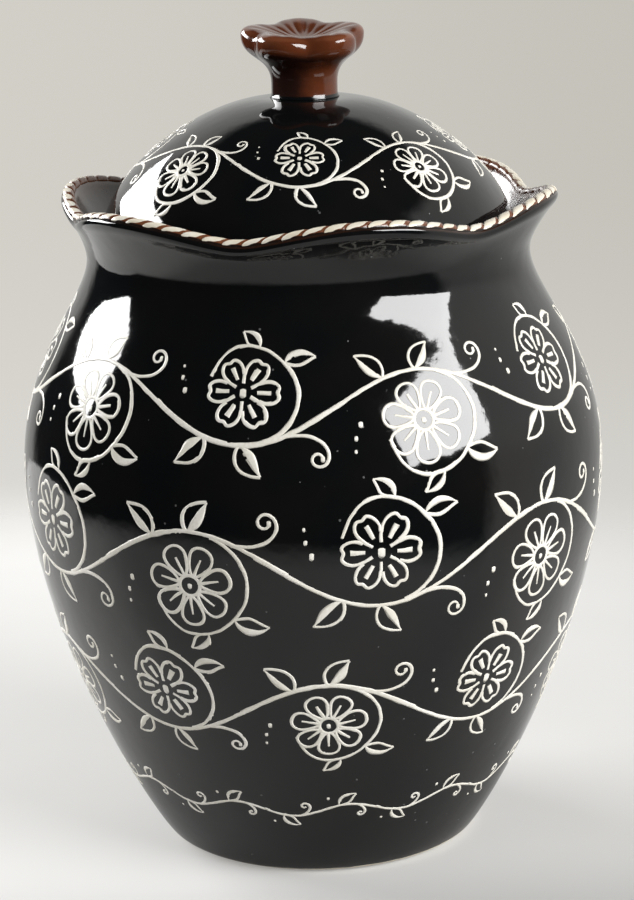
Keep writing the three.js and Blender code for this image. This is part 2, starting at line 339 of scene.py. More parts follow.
# %% Black glaze
BLACK = rgb(0.0026, 0.0030, 0.0032)
BLACK_WARM = rgb(0.0046, 0.0041, 0.0039)
PINHOLE_GREY = rgb(0.075, 0.076, 0.075)
PINHOLE_PITCH = 4.0 * MM
PINHOLE_SIZE = 0.34
PINHOLE_RARITY = 0.72
THIN_BROWN = rgb(0.022, 0.009, 0.005)
THIN_STRETCH = 45 * MM
THROAT_BROWN = rgb(0.070, 0.030, 0.013)
THROAT_DARK = rgb(0.045, 0.018, 0.008)
ROPE_DABS = 78
RUN_BROWN = rgb(0.095, 0.028, 0.012)
RUN_BEAD = 0.12 * MM
RUN_PHASE = 0.20
RUN_REACH = 0.95
RUN_TAPER = 1.9
RUN_SIDE = (0.01, 0.07)
BARE_CLAY = rgb(0.78, 0.72, 0.60)
BARE_CLAY_DARK = rgb(0.66, 0.60, 0.48)
BARE_BELOW = 1.65 * MM
GLAZED_ABOVE = 1.95 * MM
DIPPED_ASKEW = 0.014

black_glaze, place = new_finish("black_glaze")
across, depth, height = place.axes()
cloud = place.noise(30 * MM, 3.0)
speck = place.noise(1.1 * MM, 2.0)
throat = painted(place, "throat")

bubbles = place.node("TexVoronoi", None, {"Vector": place, "Scale": 1 / PINHOLE_PITCH})
luck = place.node("SeparateColor", None, {"Color": bubbles.output("Color")}, "Red")
burst = PINHOLE_SIZE * (luck - PINHOLE_RARITY)
pinhole = 1 - (bubbles.output("Distance") - burst).step(0.0, 0.02)

stretch = place.noise(THIN_STRETCH, 1.0).step(0.40, 0.58) - 1
ragged = 0.35 * (place.noise(3 * MM, 3.0) - 0.5)
thin = (painted(place, "thin") + ragged + 0.45 * stretch).step(0.35, 0.75)

turn = place.math("ARCTAN2", across, 0 - depth)
from_run = place.math("FRACT", turn * (ROPE_DABS / (2 * math.pi)) + (0.5 - RUN_PHASE)) - 0.5
run_side = (across + 0.10 * (place.noise(12 * MM, 1.0) - 0.5)).step(*RUN_SIDE)
run_reach = RUN_REACH * run_side - RUN_TAPER * place.math("ABSOLUTE", from_run)
run = (painted(place, "under_rope") + run_reach - 1).step(0.0, 0.12)

glaze_line = height - DIPPED_ASKEW * across + 0.8 * MM * (place.noise(6 * MM, 2.0) - 0.5)
bare = (1 - glaze_line.step(BARE_BELOW, GLAZED_ABOVE)) * painted(place, "foot")

colour = cloud.step(0.35, 0.7).blend(BLACK, BLACK_WARM)
colour = pinhole.blend(colour, PINHOLE_GREY)
colour = throat.blend(colour, (cloud + 0.3 * speck).step(0.3, 0.9).blend(THROAT_BROWN, THROAT_DARK))
colour = thin.blend(colour, THIN_BROWN)
colour = run.blend(colour, RUN_BROWN)
colour = bare.blend(colour, speck.step(0.3, 0.8).blend(BARE_CLAY, BARE_CLAY_DARK))
gloss = 0.035 + 0.035 * cloud + 0.05 * speck.step(0.62, 0.75) + 0.13 * throat
close_finish(
    place,
    Base_Color=colour,
    Roughness=gloss + 0.7 * bare + 0.3 * pinhole,
    Normal=glaze_waves(place, 0.15 * MM, 0.045 * MM, 0.012 * MM, RUN_BEAD * run),
)
print("black glaze has", len(black_glaze.node_tree.nodes), "nodes")

# %% [markdown]
# The rope and the drawn lines are pale slip. On the rope it lies on the crown of each dab and leaves the
# cuts, where brown clay shows, and black glaze laps over the lower outer side in stretches. The lines are
# chalkier, and their colour drifts a little from stroke to stroke.

# %% Slip
CREAM = rgb(0.64, 0.575, 0.45)
CREAM_PALE = rgb(0.70, 0.66, 0.57)
CUT_BROWN = rgb(0.150, 0.050, 0.019)
CUT_SHADE = rgb(0.075, 0.024, 0.010)
LAPPED_BLACK = rgb(0.011, 0.006, 0.004)
LINE_WHITE = rgb(0.76, 0.735, 0.675)
LINE_WORN = rgb(0.64, 0.61, 0.53)

rope_slip, place = new_finish("rope_slip")
ragged = place.noise(1.3 * MM, 3.0)
dab = (painted(place, "dab") + 0.2 * (ragged - 0.5)).step(0.42, 0.58)
pooled_and_shaded = place.noise(6 * MM, 2.0).step(0.3, 0.7).blend(CREAM, CREAM_PALE)
cut = ragged.step(0.2, 0.9).blend(CUT_BROWN, CUT_SHADE)
lapping = 0.4 * (place.noise(9 * MM) - 0.5) + 0.9 * (place.noise(40 * MM) - 0.5)
cut = (painted(place, "dipped") + lapping).step(0.3, 0.7).blend(cut, LAPPED_BLACK)
close_finish(
    place,
    Base_Color=dab.blend(cut, pooled_and_shaded),
    Roughness=0.16 + 0.16 * ragged,
    Normal=glaze_waves(place, 0.10 * MM, 0.05 * MM, 0.020 * MM),
)

line_slip, place = new_finish("line_slip")
chalk = place.noise(1.0 * MM, 3.0)
drift = place.noise(18 * MM, 2.0)
close_finish(
    place,
    Base_Color=(0.6 * drift + 0.4 * chalk).step(0.36, 0.66).blend(LINE_WORN, LINE_WHITE),
    Roughness=0.22 + 0.25 * chalk,
    Normal=glaze_waves(place, 0.05 * MM, 0.03 * MM, 0.030 * MM),
)
print("slip of the rope and of the lines mixed")

# %% [markdown]
# The knob wears a treacle-brown glaze: almost black where it has pooled in the folds, and red where it
# has drained off the petals' edges and veins. The same paint carries painted light: the petals' tops are
# lighter, in part a painted sheen, and the left of the stem is darker, a painted shade. All of it is
# painted on the mesh later. A ring of the lid's black stays round its foot. The seal is pale, dusty
# silicone that lets a little light in.

# %% Brown glaze and silicone
TREACLE = rgb(0.016, 0.0058, 0.0040)
RED_BROWN = rgb(0.080, 0.0205, 0.0072)
EDGE_BROWN = rgb(0.130, 0.040, 0.017)
BLACK_RING_TOP = 262.3 * MM
BLACK_RING_BLUR = 0.3 * MM
SILICONE = rgb(0.70, 0.70, 0.67)
SILICONE_DUSTY = rgb(0.62, 0.61, 0.57)

brown_glaze, place = new_finish("brown_glaze")
cloud = place.noise(7 * MM, 3.0)
# This paint mixes drained glaze with a painted sheen on the petals' tops and a painted shade on the left of
# the stem.
drained_sheen_and_shade = painted(place, "drained_sheen_and_shade") + 0.45 * (cloud - 0.5)
colour = drained_sheen_and_shade.step(0.05, 0.55).blend(TREACLE, RED_BROWN)
colour = drained_sheen_and_shade.step(0.62, 1.0).blend(colour, EDGE_BROWN)
ring_height = place.axes()[2] + 0.8 * MM * (cloud - 0.5)
on_stem = ring_height.step(BLACK_RING_TOP - BLACK_RING_BLUR, BLACK_RING_TOP + BLACK_RING_BLUR)
close_finish(
    place,
    Base_Color=on_stem.blend(BLACK, colour),
    Roughness=0.07 + 0.08 * cloud,
    Normal=glaze_waves(place, 0.10 * MM, 0.05 * MM, 0.014 * MM),
)

silicone, place = new_finish("silicone")
dust = place.noise(2.0 * MM, 4.0)
close_finish(
    place,
    Base_Color=dust.step(0.3, 0.8).blend(SILICONE, SILICONE_DUSTY),
    Roughness=0.40 + 0.25 * dust,
    Normal=place.node("Bump", None, {"Strength": 0.6, "Distance": 1.0, "Height": 0.02 * MM * dust}),
    Subsurface_Weight=0.15,
    Subsurface_Scale=0.002,
)
print("brown glaze and silicone ready")

# %% [markdown]
# A pot is thrown on a wheel, and here it is made the same way: half its section is drawn as a line, made
# a chain of edges and spun round the Z axis. Points that meet on the axis or at the seam are merged, and
# the faces are turned outwards. The other way, a stack of circles bridged together, needs far more steps.

# %% The wheel
WELD = 0.002 * MM


def mm(first, second):
    """Two sizes in millimetres, as metres."""
    return (first * MM, second * MM)


def arc(start, first, second, end, steps):
    """Points of a curve with two handles, without its start, each point a radius and a height."""
    knots = [Vector((radius, height, 0)) for radius, height in (start, first, second, end)]
    return [(point.x, point.y) for point in interpolate_bezier(*knots, steps + 1)][1:]


def select_only(piece):
    bpy.ops.object.select_all(action="DESELECT")
    piece.select_set(True)
    bpy.context.view_layer.objects.active = piece


def curve_to_mesh(name, curve):
    piece = bpy.data.objects.new(name, curve)
    bpy.context.collection.objects.link(piece)
    select_only(piece)
    bpy.ops.object.convert(target="MESH")
    return bpy.context.object


def draw_section(name, outline, closed=False):
    """A chain of edges through radii and heights in metres, to the right of the axis."""
    section = bpy.data.curves.new(name, "CURVE")
    section.dimensions = "3D"
    spline = section.splines.new("POLY")
    spline.points.add(len(outline) - 1)
    spline.use_cyclic_u = closed
    for point, (radius, height) in zip(spline.points, outline):
        point.co = (radius, 0, height, 1)
    return curve_to_mesh(name, section)


def edit_all():
    bpy.ops.object.mode_set(mode="EDIT")
    bpy.ops.mesh.select_all(action="SELECT")


def close_smooth():
    bpy.ops.object.mode_set(mode="OBJECT")
    bpy.ops.object.shade_smooth()


def throw(name, outline, steps, closed=False):
    """Spins a half section into a solid."""
    piece = draw_section(name, outline, closed)
    edit_all()
    bpy.ops.mesh.spin(steps=steps, angle=2 * math.pi, center=(0, 0, 0), axis=(0, 0, 1))
    bpy.ops.mesh.select_all(action="SELECT")
    bpy.ops.mesh.remove_doubles(threshold=WELD)
    bpy.ops.mesh.normals_make_consistent(inside=False)
    close_smooth()
    print(name, "has", len(piece.data.polygons), "faces")
    return piece


print("points nearer than", round(WELD / MM, 4), "mm are welded")

# %% [markdown]
# What comes after the wheel, pressing, pinching and glazing, is done on the points of the mesh, by turn
# from the front, radius and height. Sculpt mode could do it too, but numbers keep five petals alike.

# %% Shaping and painting


def points_of(piece):
    """The places of all points of a piece, one row each."""
    flat = np.empty(3 * len(piece.data.vertices), np.float32)
    piece.data.vertices.foreach_get("co", flat)
    return flat.reshape(-1, 3).astype(float)


def places_of(piece):
    """Turn from the front, radius and height of every point of a piece."""
    x, y, height = points_of(piece).T
    return np.arctan2(x, -y), np.hypot(x, y), height


def move_points(piece, turn, radius, height):
    moved = np.stack([radius * np.sin(turn), -radius * np.cos(turn), height], axis=1)
    piece.data.vertices.foreach_set("co", moved.astype(np.float32).ravel())
    piece.data.update()


def paint(piece, name, amounts):
    layer = piece.data.attributes.new(name, "FLOAT", "POINT")
    layer.data.foreach_set("value", np.asarray(amounts, np.float32))


def rise(values, low, high):
    """0 below low, 1 above high, and a smooth rise between them."""
    share = np.clip((values - low) / (high - low), 0, 1)
    return share * share * (3 - 2 * share)


def scallop(turn, count, first, softness):
    """A row of scallops round the axis: 1 in the middle of each and 0 in the notches between them."""
    swing = np.cos(count / 2 * (turn - first))
    return (np.hypot(swing, softness) - softness) / (math.hypot(1, softness) - softness)


print("halfway to its notch a scallop still has", round(scallop(math.pi / 12, 6, 0.0, 0.35), 2))

# %% [markdown]
# The jar's section runs from the middle of the foot out, up the belly, over the lip and down inside to
# the floor, in curves with two handles as in Blender's curve editor. The belly is a hair slimmer than in
# the CAD model, so that the raised lines stay within its box.

# %% The jar's section
LINE_ROOM = 0.3 * MM
FOOT_RADIUS = 52.2 * MM
FOOT_RING_WIDTH = 8.0 * MM
FOOT_RECESS = 2.5 * MM
FOOT_SOFTNESS = 1.8 * MM
SPRING = mm(56.0, 2.2)
SPRING_HANDLE = mm(62.0, 8.7)
BELLY = (101.5 * MM - LINE_ROOM, 135.0 * MM)
BELLY_LOW_HANDLE = (BELLY[0], 78.0 * MM)
BELLY_HIGH_HANDLE = (BELLY[0], 173.5 * MM)
NECK = mm(76.4, 208.3)
NECK_HANDLE = (NECK[0], 193.3 * MM)
LIP_TOP = mm(80.8, 223.3)
LIP_THICKNESS = 4.2 * MM
LIP_MIDDLE = LIP_TOP[0] - LIP_THICKNESS / 2
LIP_CROWN = 0.4 * MM
LIP_LEAN = 2.2 * MM
LIP_CURVE = 6.0 * MM
BEAD_FOOT = mm(80.5, 220.0)
WALL = 5.5 * MM
FLOOR_TOP = 8.5 * MM
NECK_BORE = 72.2 * MM
THROAT_FOOT = 209.5 * MM
LEDGE_HEIGHT = 206.0 * MM
LEDGE_BORE = 62.8 * MM
LEDGE_DEPTH = 9.0 * MM


def wall_line(steps):
    """The outside of the wall, from the foot's edge to the neck."""
    lower = arc(SPRING, SPRING_HANDLE, BELLY_LOW_HANDLE, BELLY, steps)
    upper = arc(BELLY, BELLY_HIGH_HANDLE, NECK_HANDLE, NECK, steps)
    return [SPRING, *lower, *upper]


def jar_section():
    ring_inside = FOOT_RADIUS - FOOT_RING_WIDTH
    hollow_edge = (ring_inside - FOOT_RECESS, FOOT_RECESS)
    ring_edge = (ring_inside, 0.0)
    foot_edge = (FOOT_RADIUS - FOOT_SOFTNESS, 0.0)
    lip_crown = LIP_TOP[1] + LIP_CROWN
    inner_lip = (LIP_TOP[0] - LIP_THICKNESS, LIP_TOP[1])
    throat_handles = (inner_lip[0] - LIP_LEAN, inner_lip[1] - LIP_CURVE), (NECK_BORE, THROAT_FOOT + LIP_CURVE)
    throat_foot = (NECK_BORE, THROAT_FOOT)
    ledge_back = (70.2 * MM, LEDGE_HEIGHT)
    ledge_front = (64.0 * MM, LEDGE_HEIGHT)
    ledge_nose = (LEDGE_BORE, 204.8 * MM)
    under_ledge = (LEDGE_BORE, LEDGE_HEIGHT - LEDGE_DEPTH)
    slope_foot = mm(78.3, 190.0)
    belly_inside = (BELLY[0] - WALL, BELLY[1])
    floor_curve = mm(59.3, 17.5)
    floor_edge = (41.3 * MM, FLOOR_TOP)
    return [
        (0.0, FOOT_RECESS),
        (0.6 * hollow_edge[0], FOOT_RECESS),
        hollow_edge,
        *arc(hollow_edge, mm(43.2, 2.4), (42.8 * MM, 0.0), ring_edge, 5),
        (0.5 * (ring_edge[0] + foot_edge[0]), 0.0),
        foot_edge,
        *arc(foot_edge, (52.6 * MM, 0.0), mm(54.9, 1.0), SPRING, 6),
        *wall_line(34)[1:],
        *arc(NECK, mm(76.6, 212.2), mm(78.2, 217.4), BEAD_FOOT, 14),
        *arc(BEAD_FOOT, mm(81.7, 221.2), mm(81.7, 222.7), LIP_TOP, 6),
        *arc(LIP_TOP, (LIP_TOP[0], lip_crown), (inner_lip[0], lip_crown), inner_lip, 4),
        *arc(inner_lip, *throat_handles, throat_foot, 10),
        *arc(throat_foot, (NECK_BORE, 207.6 * MM), (NECK_BORE, LEDGE_HEIGHT), ledge_back, 5),
        ledge_front,
        *arc(ledge_front, (63.2 * MM, LEDGE_HEIGHT), (LEDGE_BORE, 205.6 * MM), ledge_nose, 4),
        under_ledge,
        *arc(under_ledge, (LEDGE_BORE, 193.0 * MM), mm(76.0, 193.6), slope_foot, 8),
        *arc(slope_foot, mm(84.6, 173.0), (belly_inside[0], 169.0 * MM), belly_inside, 14),
        *arc(belly_inside, (belly_inside[0], 83.0 * MM), mm(67.5, 32.0), floor_curve, 18),
        *arc(floor_curve, mm(56.3, 11.5), (50.3 * MM, FLOOR_TOP), floor_edge, 6),
        (0.5 * floor_edge[0], FLOOR_TOP),
        (0.0, FLOOR_TOP),
    ]


print("jar's section has", len(jar_section()), "points")

# %% [markdown]
# Fresh from the wheel the wall is round, which is the moment to paint on it what the glaze has to know:
# the lining, the strip under the rope, the thin lip and the foot. Then the ruffle is pushed in, as a
# potter's finger does it: six crests that lean out and stand higher, fading away below the lip.

# %% Jar
RUN_LENGTH = 5.0 * MM
THIN_REACH = 1.2 * MM
NECK_MIDDLE = NECK[0] - 2.6 * MM
FOOT_PAINT_TOP = 4 * MM
FOOT_PAINT_INSIDE = FOOT_RADIUS - FOOT_RING_WIDTH - 1.5 * MM
RUFFLE_COUNT = 6
RUFFLE_TURN = math.radians(13.6)
RUFFLE_SOFTNESS = 0.35
RUFFLE_FOOT = 210.8 * MM
CREST_RISE = 6.0 * MM
CREST_OUT = 5.4 * MM
JAR_STEPS = 288

jar = throw("jar", jar_section(), JAR_STEPS)
turn, radius, height = places_of(jar)
wall = np.array([(FOOT_RADIUS, 0.0), *wall_line(80)])
outside = np.interp(height, wall[:, 1], wall[:, 0])
neck_middle = np.interp(height, [NECK[1], LIP_TOP[1]], [NECK_MIDDLE, LIP_MIDDLE])
lining = np.where(height > NECK[1], radius < neck_middle, radius < outside - WALL / 2)
under_rope = 1 - np.clip((LIP_TOP[1] - height) / RUN_LENGTH, 0, 1)
paint(jar, "throat", lining & (height > FLOOR_TOP - 0.5 * MM))
paint(jar, "under_rope", lining * under_rope)
paint(jar, "thin", rise(height, LIP_TOP[1] - THIN_REACH, LIP_TOP[1]))
paint(jar, "foot", (height < FOOT_PAINT_TOP) & (radius > FOOT_PAINT_INSIDE))
sway = scallop(turn, RUFFLE_COUNT, RUFFLE_TURN, RUFFLE_SOFTNESS) * rise(height, RUFFLE_FOOT, LIP_TOP[1])
move_points(jar, turn, radius + CREST_OUT * sway, height + CREST_RISE * sway)
jar.data.materials.append(black_glaze)
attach(jar, "jar")
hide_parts("jar_body")

# %% [markdown]
# The rope is a coil of clay laid along the lip. Blender's torus stops at 256 segments, too few for 78
# pillows, so a ring of points is swept round the axis by a Screw modifier, at first as a plain coil.

# %% Coil of the rope
ROPE_STEPS_PER_DAB = 18
ROPE_RING_POINTS = 24
ROPE_WIDTH = 4.4 * MM

ring = [2 * math.pi * i / ROPE_RING_POINTS for i in range(ROPE_RING_POINTS)]
coil = [(LIP_MIDDLE + ROPE_WIDTH / 2 * math.cos(a), ROPE_WIDTH / 2 * math.sin(a)) for a in ring]
rope = draw_section("rope", coil, closed=True)
bpy.ops.object.modifier_add(type="SCREW")
screw = rope.modifiers[-1]
screw.steps = ROPE_DABS * ROPE_STEPS_PER_DAB
screw.render_steps = screw.steps
screw.use_merge_vertices = True
screw.merge_threshold = WELD
bpy.ops.object.modifier_apply(modifier=screw.name)
print("coil has", len(rope.data.polygons), "faces")

# %% [markdown]
# The coil is pressed with a tool, so that it swells into pillows between slanting cuts. The section is
# flattened below, narrowed at the cuts and lifted with the ruffle. Slip covers the crown of each pillow,
# less of it towards the throat, and stops short of one end, a little differently each time.

# %% Pillows and slip
ROPE_HEIGHT = 2.05 * MM
ROPE_CUT = 0.7 * MM
ROPE_SUNK = 0.8 * MM
ROPE_SLANT = 0.32
ROPE_SEED = 5

turn, radius, height = places_of(rope)
round_coil = np.arctan2(height, radius - LIP_MIDDLE)
outward = np.cos(round_coil)
upward = np.sin(round_coil)
dab, share = np.divmod(turn * ROPE_DABS / (2 * math.pi), 1.0)
share = 2 * share - 1
chance = np.random.default_rng(ROPE_SEED).uniform(-1, 1, (2, ROPE_DABS))
luck = chance[:, dab.astype(int) % ROPE_DABS]
inward = rise(-outward, -0.1, 0.45)
slip_end = 0.64 - 0.30 * inward + 0.10 * luck[0]
slip_low = 0.14 + 0.58 * ((share + 1) / 2) ** 1.8 + 0.72 * inward + 0.09 * luck[1]
covered = rise(share, -0.96, -0.84) * (1 - rise(share, slip_end - 0.07, slip_end + 0.07))
paint(rope, "dab", covered * rise(upward, slip_low - 0.12, slip_low + 0.12))
paint(rope, "dipped", (1 - rise(upward, 0.05, 0.55)) * rise(outward, 0.0, 0.3))

turn = turn - ROPE_SLANT * outward * 2 * math.pi / ROPE_DABS
pillow = np.sqrt(1 - np.abs(share) ** 3.5)
half_width = ROPE_WIDTH / 2 - 0.4 * ROPE_CUT * (1 - pillow)
crown = ROPE_HEIGHT - ROPE_CUT * (1 - pillow)
lifted = np.where(upward > 0, np.abs(upward) ** 0.85 * crown, upward * ROPE_SUNK)
sway = scallop(turn, RUFFLE_COUNT, RUFFLE_TURN, RUFFLE_SOFTNESS)
radius = LIP_MIDDLE + CREST_OUT * sway + half_width * outward
move_points(rope, turn, radius, LIP_TOP[1] + CREST_RISE * sway + lifted)
edit_all()
bpy.ops.mesh.normals_make_consistent(inside=False)
close_smooth()
rope.data.materials.append(rope_slip)
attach(rope, "jar")
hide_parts("rim_rope")
print("rope has", ROPE_DABS, "dabs,", round(2 * math.pi * LIP_MIDDLE / ROPE_DABS / MM, 1), "mm apart")

# %% [markdown]
# The lid is thrown like the jar: an upright edge that drops onto the ledge, a dome, and below it a
# flange with a groove for the seal. The dome's curve is kept as a function, because the vine on the lid
# is laid along the same line. The lid wears the jar's glaze, with none of the zones painted on the jar.

# %% Lid
LID_RADIUS = 71.2 * MM
LID_SEAT = 206.3 * MM
LID_EDGE_SOFTNESS = 0.9 * MM
DOME_BASE = (LID_RADIUS, 213.5 * MM)
DOME_TOP = mm(13.1, 261.0)
DOME_SHOULDER = 23.0 * MM
DOME_CROWN = 22.0 * MM
LID_WALL = 5.0 * MM
FLANGE_OUTER = 60.2 * MM
FLANGE_INNER = 55.8 * MM
FLANGE_BOTTOM = 194.3 * MM
GROOVE_RADIUS = 58.6 * MM
GROOVE_LOW = 197.0 * MM
GROOVE_HIGH = 203.6 * MM
LID_STEPS = 240
SHARP_EDGE = math.radians(40)


def dome_line(steps):
    """The outside of the dome, from its upright edge to the pad under the knob."""
    shoulder = (LID_RADIUS, DOME_BASE[1] + DOME_SHOULDER)
    crown = (DOME_TOP[0] + DOME_CROWN, DOME_TOP[1])
    return [DOME_BASE, *arc(DOME_BASE, shoulder, crown, DOME_TOP, steps)]


def lid_section():
    soft = LID_EDGE_SOFTNESS
    vault_top = (10.0 * MM, DOME_TOP[1] - LID_WALL)
    vault_foot = mm(66.2, 217.0)
    flange_root = (FLANGE_INNER, LID_SEAT)
    flange_side = (FLANGE_INNER, FLANGE_BOTTOM + soft)
    flange_corner = (FLANGE_INNER, FLANGE_BOTTOM)
    under_edge = (LID_RADIUS - soft, LID_SEAT)
    edge_corner = (LID_RADIUS, LID_SEAT)
    edge = (LID_RADIUS, LID_SEAT + soft)
    return [
        (0.0, vault_top[1]),
        vault_top,
        *arc(vault_top, (32.0 * MM, vault_top[1]), (vault_foot[0], 235.0 * MM), vault_foot, 16),
        *arc(vault_foot, (vault_foot[0], 212.0 * MM), (FLANGE_INNER, 211.0 * MM), flange_root, 6),
        flange_side,
        *arc(flange_side, flange_corner, flange_corner, (FLANGE_INNER + soft, FLANGE_BOTTOM), 3),
        (FLANGE_OUTER - soft, FLANGE_BOTTOM),
        (FLANGE_OUTER, FLANGE_BOTTOM + soft),
        (FLANGE_OUTER, GROOVE_LOW),
        (GROOVE_RADIUS, GROOVE_LOW),
        (GROOVE_RADIUS, GROOVE_HIGH),
        (FLANGE_OUTER, GROOVE_HIGH),
        (FLANGE_OUTER, LID_SEAT),
        under_edge,
        *arc(under_edge, edge_corner, edge_corner, edge, 4),
        (LID_RADIUS, 0.5 * (edge[1] + DOME_BASE[1])),
        *dome_line(40),
        (0.5 * DOME_TOP[0], DOME_TOP[1]),
        (0.0, DOME_TOP[1]),
    ]


lid = throw("lid", lid_section(), LID_STEPS)
for zone in ("throat", "thin", "foot", "under_rope"):
    paint(lid, zone, np.zeros(len(lid.data.vertices)))
bpy.ops.object.shade_smooth_by_angle(angle=SHARP_EDGE)
lid.data.materials.append(black_glaze)
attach(lid, "lid")
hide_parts("lid_dome")

# %% [markdown]
# The knob starts as a turned trumpet on a short stem, with a dimple in its middle. The petals come after,
# so that the trumpet can be judged on its own.

# %% The knob's section
STEM_RADIUS = 11.3 * MM
STEM_FOOT = 0.6 * MM
STEM_FOOT_HEIGHT = 1.6 * MM
STEM_TOP = 266.0 * MM
FLOWER_RADIUS = 21.7 * MM
PETAL_TOP = 285.9 * MM
PETAL_SIDE = 283.3 * MM
FLARE_LOW = 9.5 * MM
FLARE_HIGH = 8.8 * MM
DIMPLE_RADIUS = 4.0 * MM
DIMPLE_FLOOR = 281.3 * MM
KNOB_STEPS = 300


def knob_section():
    stem_foot = (STEM_RADIUS + STEM_FOOT, DOME_TOP[1])
    stem = (STEM_RADIUS, DOME_TOP[1] + STEM_FOOT_HEIGHT)
    flare_foot = (STEM_RADIUS, STEM_TOP)
    flare_handles = (STEM_RADIUS, STEM_TOP + FLARE_LOW), (FLOWER_RADIUS, PETAL_SIDE - FLARE_HIGH)
    flare_end = (FLOWER_RADIUS, PETAL_SIDE)
    lip = (18.4 * MM, PETAL_TOP)
    dimple_edge = (DIMPLE_RADIUS, DIMPLE_FLOOR)
    heart = (0.0, 280.8 * MM)
    return [
        (0.0, DOME_TOP[1]),
        stem_foot,
        *arc(stem_foot, (STEM_RADIUS + 0.2 * MM, 261.6 * MM), stem, stem, 4),
        flare_foot,
        *arc(flare_foot, *flare_handles, flare_end, 18),
        *arc(flare_end, (FLOWER_RADIUS, 285.0 * MM), (20.4 * MM, PETAL_TOP), lip, 8),
        *arc(lip, (15.0 * MM, PETAL_TOP), mm(9.0, 282.6), dimple_edge, 14),
        *arc(dimple_edge, mm(2.6, 280.9), (1.2 * MM, heart[1]), heart, 4),
    ]


knob = throw("knob", knob_section(), KNOB_STEPS)

# %% [markdown]
# The trumpet is pinched between the petals, which pulls the rim in and down there, tipped to the front,
# and combed with veins that run out from the middle. Working on the points in code keeps all five petals
# alike. How much glaze has drained off is painted too: most at the rim and the veins, least in the
# notches. Painted light goes into the same paint: the upper faces are lighter, partly as a painted
# sheen, and the side of the stem turned away from the lit right, on the left, is darker, a painted shade.

# %% Flower knob
PETAL_COUNT = 5
PETAL_TURN = math.radians(41)
PETAL_SOFTNESS = 0.3
PETAL_NOTCH = 3.9 * MM
PETAL_LIFT = 1.1 * MM
FLOWER_LEAN = 3.0 * MM
FRONT_GAP = PETAL_TURN - math.pi / PETAL_COUNT
VEINS_PER_PETAL = 4
VEIN_HEIGHT = 0.22 * MM
VEIN_BEGINS = mm(3.0, 8.0)
VEIN_ENDS = mm(17.0, 20.5)
RIM_DEPTH = 8 * MM
LIT_TURN = math.radians(60)

turn, radius, height = places_of(knob)
facing_up = np.array([point.normal.z for point in knob.data.vertices])
upper_face = rise(facing_up, 0.3, 0.8) * (height > STEM_TOP)
petal = scallop(turn, PETAL_COUNT, PETAL_TURN, PETAL_SOFTNESS)
reach = rise(radius, DIMPLE_RADIUS, FLOWER_RADIUS)
above = rise(height, STEM_TOP, PETAL_TOP)
sway = (1 - petal) * reach * above
lean = FLOWER_LEAN * (0.5 + 0.5 * np.cos(turn - FRONT_GAP)) * above * radius / FLOWER_RADIUS
comb = 0.5 + 0.5 * np.cos(PETAL_COUNT * VEINS_PER_PETAL * (turn - PETAL_TURN))
vein = upper_face * rise(radius, *VEIN_BEGINS) * (1 - rise(radius, *VEIN_ENDS)) * petal ** 0.5
rim = rise(radius, 0.82 * FLOWER_RADIUS, 0.98 * FLOWER_RADIUS)
rim = rim * rise(height, PETAL_SIDE - RIM_DEPTH, PETAL_SIDE)
# Painted shade: the side walls that face away from the light, on the left of the stem, are darker.
pooled_and_shaded = (1 - rise(np.cos(turn - LIT_TURN), 0.0, 0.9)) * (1 - upper_face) * (1 - rim)
# Rim and veins are where glaze drained; the lighter upper faces are partly a painted sheen.
drained_sheen_and_shade = 0.42 + 0.33 * rim + 0.26 * upper_face - 0.45 * pooled_and_shaded - 0.3 * sway
paint(knob, "drained_sheen_and_shade", drained_sheen_and_shade + 0.34 * vein * (comb - 0.5))
groove = VEIN_HEIGHT * vein * (1 - comb ** 0.7)
move_points(knob, turn, radius - PETAL_NOTCH * sway, height - PETAL_LIFT * sway - lean - groove)
knob.data.materials.append(brown_glaze)
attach(knob, "lid")
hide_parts("lid_knob")
print("knob has", PETAL_COUNT, "petals with", VEINS_PER_PETAL, "veins each")

# %% [markdown]
# The seal hides under the lid and shows only when the lid is lifted: a pale silicone ring, stretched
# into the flange's groove, with two soft lips that wipe the ledge. Its section is a closed line, so the
# spin makes a ring with no poles.

# %% Seal
SEAL_INNER = 58.9 * MM
SEAL_OUTER = 62.5 * MM
SEAL_WAIST = 61.4 * MM
SEAL_LOW = 197.3 * MM
SEAL_HIGH = 203.3 * MM
SEAL_LIP = 1.6 * MM
SEAL_STEPS = 160


def seal_lip(low):
    """One rounded lip of the seal, from its lower root to its upper one."""
    tip_low = (SEAL_OUTER, low + 0.2 * SEAL_LIP)
    tip_high = (SEAL_OUTER, low + 0.8 * SEAL_LIP)
    return [(SEAL_WAIST, low), *arc((SEAL_WAIST, low), tip_low, tip_high, (SEAL_WAIST, low + SEAL_LIP), 8)]


seal_section = [
    (SEAL_INNER, SEAL_LOW),
    *seal_lip(SEAL_LOW),
    *seal_lip(SEAL_HIGH - SEAL_LIP),
    (SEAL_INNER, SEAL_HIGH),
]
seal = throw("seal", seal_section, SEAL_STEPS, closed=True)
bpy.ops.object.shade_smooth_by_angle(angle=SHARP_EDGE)
seal.data.materials.append(silicone)
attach(seal, "seal")
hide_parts("lid_seal")

# %% [markdown]
# The white decoration is drawn in slip with a fine nozzle, so it is a raised line that swells and thins.
# A curve with a bevel and a radius at each point is just that. First come the movements of the hand, as
# short functions on a flat sheet: a line that bends as it goes, a line beside another, a dot.

# %% Strokes of the nozzle
LINE = 1.5 * MM
STROKE_STEP = 0.8 * MM


def shares(length, step=STROKE_STEP):
    """Even shares from 0 to 1 for a line of this length."""
    count = max(4, round(length / step))
    return [i / count for i in range(count + 1)]


def stroke(points, start_width=LINE, end_width=LINE):
    """A drawn line as places on the sheet with a width at each, swelling evenly from start to end."""
    last = len(points) - 1
    return [(u, v, start_width + (end_width - start_width) * i / last) for i, (u, v) in enumerate(points)]


